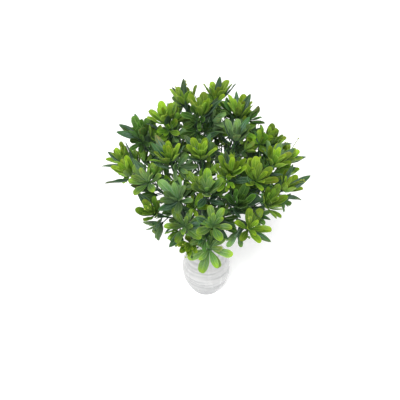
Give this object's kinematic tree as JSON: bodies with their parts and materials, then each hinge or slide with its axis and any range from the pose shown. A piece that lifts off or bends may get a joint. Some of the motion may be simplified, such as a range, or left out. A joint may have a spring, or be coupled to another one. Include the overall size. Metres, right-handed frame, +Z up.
{
  "type": "artificial tabletop shrub in a vase",
  "caption": "Bushy artificial greenery in a small white ribbed ceramic vase: two lift-out bunches of bendable branches tipped with moulded leaf clusters.",
  "frame": {"origin": "centre of the vase's flat foot, on the surface it stands on", "axes": "+Z up along the vase axis; the front bunch stands on the -Y side of the axis and the back bunch on the +Y side"},
  "size_m": [0.2914, 0.2918, 0.3497],
  "materials": {
    "vase_glaze": "glossy white glaze over irregular turned ribs",
    "stem_plastic": "satin dark green moulded polyethylene",
    "steel_wire": "plain drawn wire",
    "branch_plastic": "satin green moulded polyethylene over thin wire",
    "leaf_plastic": "satin two-tone green, bluish at the leaf bases and yellow-green at the tips"
  },
  "bodies": {
    "vase": {"vase": "vase_glaze"},
    "front_bunch": {"front_bunch_stem": "stem_plastic", "front_bunch_wire_core": "steel_wire", "front_bunch_collar": "stem_plastic"},
    "front_branch_1": {"front_branch_1": "branch_plastic", "front_branch_1_cluster_a": "leaf_plastic", "front_branch_1_cluster_b": "leaf_plastic", "front_branch_1_cluster_c": "leaf_plastic"},
    "front_branch_2": {"front_branch_2": "branch_plastic", "front_branch_2_cluster_a": "leaf_plastic", "front_branch_2_cluster_b": "leaf_plastic", "front_branch_2_cluster_c": "leaf_plastic"},
    "front_branch_3": {"front_branch_3": "branch_plastic", "front_branch_3_cluster_a": "leaf_plastic", "front_branch_3_cluster_b": "leaf_plastic", "front_branch_3_cluster_c": "leaf_plastic"},
    "front_branch_4": {"front_branch_4": "branch_plastic", "front_branch_4_cluster_a": "leaf_plastic", "front_branch_4_cluster_b": "leaf_plastic"},
    "front_branch_5": {"front_branch_5": "branch_plastic", "front_branch_5_cluster_a": "leaf_plastic", "front_branch_5_cluster_b": "leaf_plastic", "front_branch_5_cluster_c": "leaf_plastic"},
    "front_branch_6": {"front_branch_6": "branch_plastic", "front_branch_6_cluster_a": "leaf_plastic", "front_branch_6_cluster_b": "leaf_plastic", "front_branch_6_cluster_c": "leaf_plastic"},
    "front_branch_7": {"front_branch_7": "branch_plastic", "front_branch_7_cluster_a": "leaf_plastic", "front_branch_7_cluster_b": "leaf_plastic"},
    "back_bunch": {"back_bunch_stem": "stem_plastic", "back_bunch_wire_core": "steel_wire", "back_bunch_collar": "stem_plastic"},
    "back_branch_1": {"back_branch_1": "branch_plastic", "back_branch_1_cluster_a": "leaf_plastic", "back_branch_1_cluster_b": "leaf_plastic", "back_branch_1_cluster_c": "leaf_plastic"},
    "back_branch_2": {"back_branch_2": "branch_plastic", "back_branch_2_cluster_a": "leaf_plastic", "back_branch_2_cluster_b": "leaf_plastic", "back_branch_2_cluster_c": "leaf_plastic"},
    "back_branch_3": {"back_branch_3": "branch_plastic", "back_branch_3_cluster_a": "leaf_plastic", "back_branch_3_cluster_b": "leaf_plastic", "back_branch_3_cluster_c": "leaf_plastic"},
    "back_branch_4": {"back_branch_4": "branch_plastic", "back_branch_4_cluster_a": "leaf_plastic", "back_branch_4_cluster_b": "leaf_plastic", "back_branch_4_cluster_c": "leaf_plastic"},
    "back_branch_5": {"back_branch_5": "branch_plastic", "back_branch_5_cluster_a": "leaf_plastic", "back_branch_5_cluster_b": "leaf_plastic", "back_branch_5_cluster_c": "leaf_plastic"},
    "back_branch_6": {"back_branch_6": "branch_plastic", "back_branch_6_cluster_a": "leaf_plastic", "back_branch_6_cluster_b": "leaf_plastic", "back_branch_6_cluster_c": "leaf_plastic"},
    "back_branch_7": {"back_branch_7": "branch_plastic", "back_branch_7_cluster_a": "leaf_plastic", "back_branch_7_cluster_b": "leaf_plastic"}
  },
  "joints": [
    {"name": "front_bunch_lift", "type": "slide", "parent": "vase", "child": "front_bunch", "axis": [0, 0, 1], "range_m": [0, 0.14]},
    {"name": "front_branch_1_bend", "type": "hinge", "parent": "front_bunch", "child": "front_branch_1", "pos_m": [0, -0.0041, 0.146], "axis": [0.8191, 0.5736, 0], "range_deg": [-5, 5]},
    {"name": "front_branch_2_bend", "type": "hinge", "parent": "front_bunch", "child": "front_branch_2", "pos_m": [-0.00381, -0.0063, 0.146], "axis": [0.5, -0.866, 0], "range_deg": [0, 35]},
    {"name": "front_branch_3_bend", "type": "hinge", "parent": "front_bunch", "child": "front_branch_3", "pos_m": [-0.00381, -0.0107, 0.146], "axis": [0.1736, -0.9848, 0], "range_deg": [0, 20]},
    {"name": "front_branch_4_bend", "type": "hinge", "parent": "front_bunch", "child": "front_branch_4", "pos_m": [0, -0.0085, 0.146], "axis": [0.9744, 0.225, 0], "range_deg": [-3, 7]},
    {"name": "front_branch_5_bend", "type": "hinge", "parent": "front_bunch", "child": "front_branch_5", "pos_m": [0.00381, -0.0063, 0.146], "axis": [-0.5299, 0.848, 0], "range_deg": [0, 20]},
    {"name": "front_branch_6_bend", "type": "hinge", "parent": "front_bunch", "child": "front_branch_6", "pos_m": [0.00381, -0.0107, 0.146], "axis": [0.1736, 0.9848, 0], "range_deg": [-4, 35]},
    {"name": "front_branch_7_bend", "type": "hinge", "parent": "front_bunch", "child": "front_branch_7", "pos_m": [0, -0.0129, 0.146], "axis": [0.9994, -0.0349, 0], "range_deg": [-3, 30]},
    {"name": "back_bunch_lift", "type": "slide", "parent": "vase", "child": "back_bunch", "axis": [0, 0, 1], "range_m": [0, 0.14]},
    {"name": "back_branch_1_bend", "type": "hinge", "parent": "back_bunch", "child": "back_branch_1", "pos_m": [-0.00381, 0.0063, 0.146], "axis": [-0.2079, -0.9781, 0], "range_deg": [0, 35]},
    {"name": "back_branch_2_bend", "type": "hinge", "parent": "back_bunch", "child": "back_branch_2", "pos_m": [-0.00381, 0.0107, 0.146], "axis": [-0.8829, -0.4695, 0], "range_deg": [-6, 35]},
    {"name": "back_branch_3_bend", "type": "hinge", "parent": "back_bunch", "child": "back_branch_3", "pos_m": [0, 0.0041, 0.146], "axis": [-0.891, -0.454, 0], "range_deg": [-10, 10]},
    {"name": "back_branch_4_bend", "type": "hinge", "parent": "back_bunch", "child": "back_branch_4", "pos_m": [0, 0.0129, 0.146], "axis": [-0.9994, 0.0349, 0], "range_deg": [-8, 25]},
    {"name": "back_branch_5_bend", "type": "hinge", "parent": "back_bunch", "child": "back_branch_5", "pos_m": [0, 0.0085, 0.146], "axis": [-0.9962, 0.0872, 0], "range_deg": [-8, 14]},
    {"name": "back_branch_6_bend", "type": "hinge", "parent": "back_bunch", "child": "back_branch_6", "pos_m": [0.00381, 0.0107, 0.146], "axis": [-0.9397, 0.342, 0], "range_deg": [-10, 30]},
    {"name": "back_branch_7_bend", "type": "hinge", "parent": "back_bunch", "child": "back_branch_7", "pos_m": [0.00381, 0.0063, 0.146], "axis": [-0.1736, 0.9848, 0], "range_deg": [-1, 35]}
  ]
}
